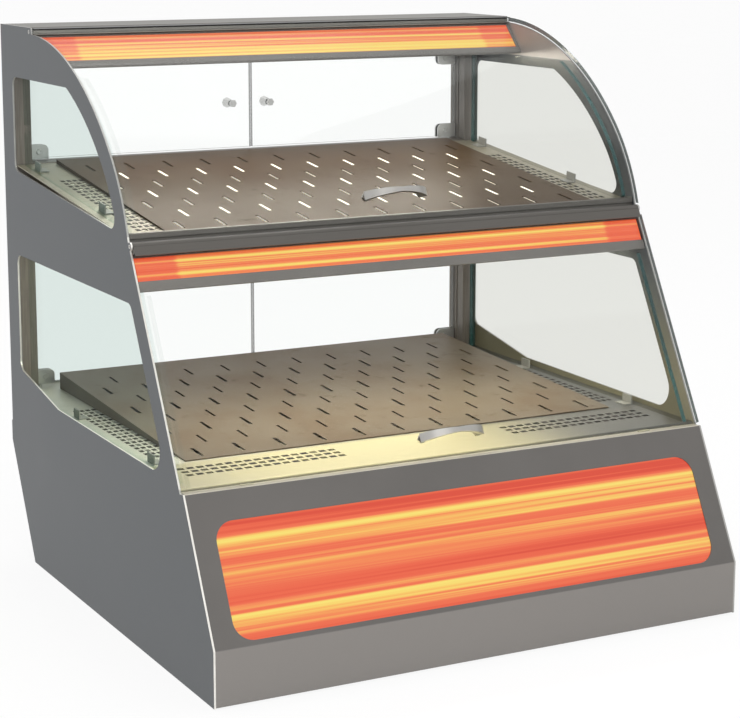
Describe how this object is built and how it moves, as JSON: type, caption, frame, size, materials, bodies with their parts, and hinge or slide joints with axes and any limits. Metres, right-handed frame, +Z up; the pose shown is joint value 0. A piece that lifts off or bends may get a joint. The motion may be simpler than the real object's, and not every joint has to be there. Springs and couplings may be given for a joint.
{
  "type": "heated display case",
  "caption": "Countertop heated display case with two levels, a curved upper front glass, a flat lower front glass, glass rear doors and a lit front panel.",
  "frame": {"origin": "middle of the footprint, on the counter", "axes": "+X to the right seen from the customer's side, +Y to the operator's side, +Z up"},
  "size_m": [0.78, 0.758, 0.7935],
  "materials": {
    "grey_paint": "satin",
    "steel": "brushed",
    "aluminium": "satin",
    "clear_glass": "clear",
    "chrome": "polished",
    "acrylic": "gloss",
    "white_paint": "satin",
    "white_plastic": "satin",
    "black_plastic": "satin",
    "rubber": "matte",
    "motor": "satin",
    "heat_mat": "matte"
  },
  "bodies": {
    "cabinet": {"right_side_panel": "grey_paint", "left_side_panel": "grey_paint", "front_panel": "grey_paint", "rear_service_panel": "grey_paint", "roof_panel": "grey_paint", "shelf_border": "grey_paint", "deck_plate": "steel", "shelf_deck": "steel", "shelf_pan": "steel", "shelf_rear_rail": "steel", "right_rear_post": "steel", "left_rear_post": "steel", "base_pan": "steel", "header_housing": "steel", "warm_air_chamber": "steel", "pane_clips": "steel", "deck_heater": "steel", "shelf_trim": "aluminium", "lower_left_pane": "clear_glass", "lower_right_pane": "clear_glass", "upper_left_pane": "clear_glass", "upper_right_pane": "clear_glass", "graphic_panel": "acrylic", "shelf_light_strip": "acrylic", "header_light_strip": "acrylic", "light_tubes": "acrylic", "graphic_light_box": "white_paint", "lamp_holders": "white_plastic", "cable_gland": "black_plastic", "switch_bodies": "black_plastic", "thermostats": "black_plastic", "lamp_driver": "black_plastic", "foot_pads": "rubber", "glass_buffers": "rubber", "fan_motor": "motor", "shelf_heater": "heat_mat"},
    "upper_glass_flap": {"upper_front_glass": "clear_glass", "upper_glass_rail": "aluminium", "upper_glass_pins": "white_plastic", "upper_glass_handle": "chrome"},
    "lower_glass_flap": {"lower_front_glass": "clear_glass", "lower_glass_rail": "aluminium", "lower_glass_pins": "white_plastic", "lower_glass_handle": "chrome"},
    "lower_left_rear_door": {"lower_left_door": "clear_glass", "lower_left_door_fittings": "chrome"},
    "lower_right_rear_door": {"lower_right_door": "clear_glass", "lower_right_door_fittings": "chrome"},
    "upper_left_rear_door": {"upper_left_door": "clear_glass", "upper_left_door_fittings": "chrome"},
    "upper_right_rear_door": {"upper_right_door": "clear_glass", "upper_right_door_fittings": "chrome"},
    "lower_food_tray": {"lower_tray": "steel"},
    "shelf_food_tray": {"shelf_tray": "steel"},
    "deck_heat_dial": {"deck_heat_knob": "black_plastic"},
    "shelf_heat_dial": {"shelf_heat_knob": "black_plastic"},
    "power_switch": {"power_rocker": "black_plastic"},
    "light_switch": {"light_rocker": "black_plastic"},
    "air_fan": {"fan_wheel": "motor"}
  },
  "joints": [
    {"name": "upper_glass_hinge", "type": "hinge", "parent": "cabinet", "child": "upper_glass_flap", "pos_m": [0, 0.2485, 0.7875], "axis": [-1, 0, 0], "range_deg": [0, 75]},
    {"name": "lower_glass_hinge", "type": "hinge", "parent": "cabinet", "child": "lower_glass_flap", "pos_m": [0, -0.1263, 0.534], "axis": [-1, 0, 0], "range_deg": [0, 70]},
    {"name": "lower_left_door_hinge", "type": "hinge", "parent": "cabinet", "child": "lower_left_rear_door", "pos_m": [-0.3515, 0.358, 0.408], "axis": [0, 0, 1], "range_deg": [0, 100]},
    {"name": "lower_right_door_hinge", "type": "hinge", "parent": "cabinet", "child": "lower_right_rear_door", "pos_m": [0.3515, 0.358, 0.408], "axis": [0, 0, -1], "range_deg": [0, 100]},
    {"name": "upper_left_door_hinge", "type": "hinge", "parent": "cabinet", "child": "upper_left_rear_door", "pos_m": [-0.3515, 0.358, 0.664], "axis": [0, 0, 1], "range_deg": [0, 100]},
    {"name": "upper_right_door_hinge", "type": "hinge", "parent": "cabinet", "child": "upper_right_rear_door", "pos_m": [0.3515, 0.358, 0.664], "axis": [0, 0, -1], "range_deg": [0, 100]},
    {"name": "lower_tray_lift", "type": "slide", "parent": "cabinet", "child": "lower_food_tray", "axis": [0, 0, 1], "range_m": [0, 0.03]},
    {"name": "shelf_tray_lift", "type": "slide", "parent": "cabinet", "child": "shelf_food_tray", "axis": [0, 0, 1], "range_m": [0, 0.03]},
    {"name": "deck_heat_turn", "type": "hinge", "parent": "cabinet", "child": "deck_heat_dial", "pos_m": [-0.19, 0.359, 0.224], "axis": [0, 1, 0], "range_deg": [0, 270]},
    {"name": "shelf_heat_turn", "type": "hinge", "parent": "cabinet", "child": "shelf_heat_dial", "pos_m": [-0.13, 0.359, 0.224], "axis": [0, 1, 0], "range_deg": [0, 270]},
    {"name": "power_rock", "type": "hinge", "parent": "cabinet", "child": "power_switch", "pos_m": [-0.3, 0.359, 0.224], "axis": [-1, 0, 0], "range_deg": [0, 16]},
    {"name": "light_rock", "type": "hinge", "parent": "cabinet", "child": "light_switch", "pos_m": [-0.255, 0.359, 0.224], "axis": [-1, 0, 0], "range_deg": [0, 16]},
    {"name": "fan_spin", "type": "hinge", "parent": "cabinet", "child": "air_fan", "pos_m": [0, 0.086, 0.178], "axis": [0, 0, 1], "continuous": true}
  ]
}
